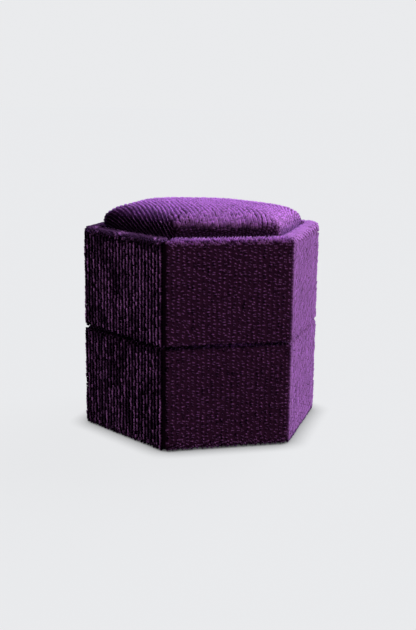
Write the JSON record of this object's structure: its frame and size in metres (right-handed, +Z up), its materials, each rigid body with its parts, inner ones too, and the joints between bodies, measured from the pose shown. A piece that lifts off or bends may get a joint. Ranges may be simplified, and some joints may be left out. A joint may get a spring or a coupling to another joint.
{
  "type": "velvet ring box",
  "caption": "Hexagonal velvet ring box with a domed, cushioned lid that lifts off an inner collar, and a slotted cushion inside that holds a ring.",
  "frame": {"origin": "middle of the underside, on the surface that the box stands on", "axes": "+Z up; -Y is the front, square to one flat side; +X runs to the right, corner to corner"},
  "size_m": [0.0572, 0.05, 0.053],
  "materials": {
    "velvet": "matte",
    "lining_velvet": "matte",
    "sole_felt": "matte",
    "foam": "matte",
    "greyboard": "matte"
  },
  "bodies": {
    "base": {"base_sole": "sole_felt", "base_floor_board": "greyboard", "base_wall_front": "greyboard", "base_wall_front_right": "greyboard", "base_wall_back_right": "greyboard", "base_wall_back": "greyboard", "base_wall_back_left": "greyboard", "base_wall_front_left": "greyboard", "base_velvet_wrap": "velvet", "collar_card": "greyboard", "collar_velvet": "velvet", "ring_pad_card": "greyboard", "ring_foam_front": "foam", "ring_foam_back": "foam", "ring_pad_velvet": "velvet"},
    "lid": {"lid_wall_front": "greyboard", "lid_wall_front_right": "greyboard", "lid_wall_back_right": "greyboard", "lid_wall_back": "greyboard", "lid_wall_back_left": "greyboard", "lid_wall_front_left": "greyboard", "lid_top_board": "greyboard", "lid_velvet_wrap": "velvet", "lid_wall_lining": "lining_velvet", "lid_ceiling_card": "greyboard", "lid_ceiling_foam": "foam", "lid_ceiling_cover": "lining_velvet", "lid_pad_card": "greyboard", "lid_pad_foam": "foam", "lid_pad_velvet": "velvet"}
  },
  "joints": [
    {"name": "lid_lift", "type": "slide", "parent": "base", "child": "lid", "axis": [0, 0, 1], "range_m": [0, 0.06]}
  ]
}
